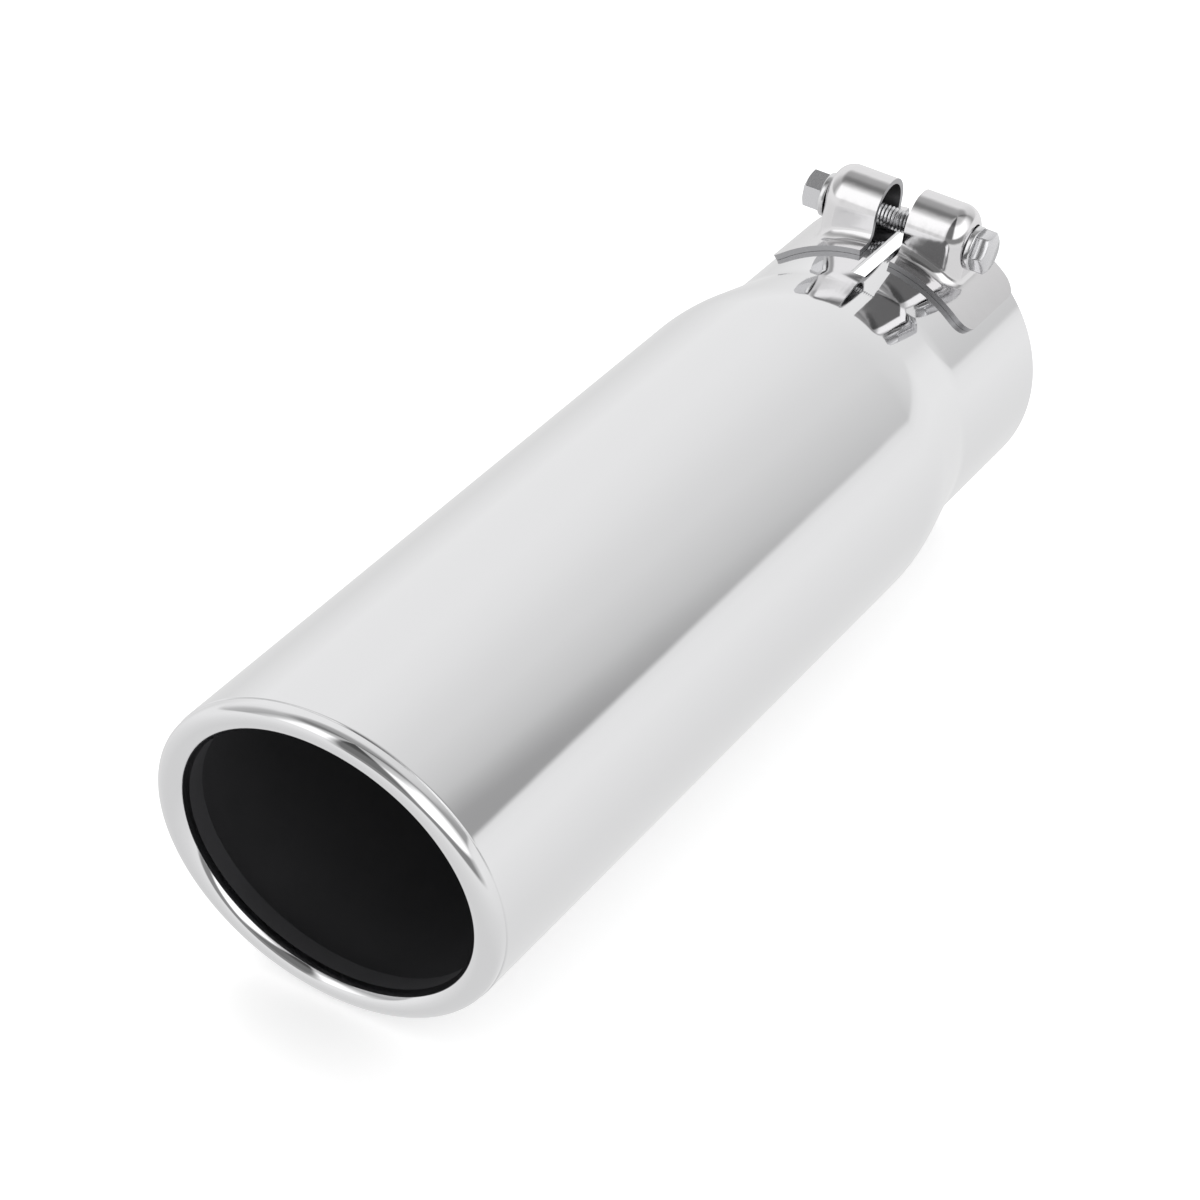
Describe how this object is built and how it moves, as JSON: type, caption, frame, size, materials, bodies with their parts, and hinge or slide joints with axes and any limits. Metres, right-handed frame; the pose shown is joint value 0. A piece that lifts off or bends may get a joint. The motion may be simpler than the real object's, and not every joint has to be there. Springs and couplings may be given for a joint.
{
  "type": "exhaust tip",
  "caption": "Polished slant-cut exhaust tip with a rolled lip, a stepped-down slotted inlet neck and a screw clamp that grips the tailpipe.",
  "frame": {"origin": "centre of the inlet end face, on the tube's axis", "axes": "+Y out of the inlet along the tube's axis towards the tailpipe, mouth towards -Y; +Z through the saw slot, the clamp and the long side of the slanted mouth; +X towards the screw's head"},
  "size_m": [0.0888, 0.302, 0.0995],
  "materials": {
    "polished_tube": "mirror-polished stainless steel",
    "polished_ear": "polished stamped stainless steel",
    "fastener": "bright cold-formed stainless steel",
    "washer": "tumbled stamped stainless steel"
  },
  "bodies": {
    "root": {"tip_body": "polished_tube", "head_side_ear": "polished_ear", "nut_side_ear": "polished_ear", "clamp_screw": "fastener", "clamp_nut": "fastener", "head_washer": "washer", "nut_washer": "washer"}
  },
  "joints": []
}
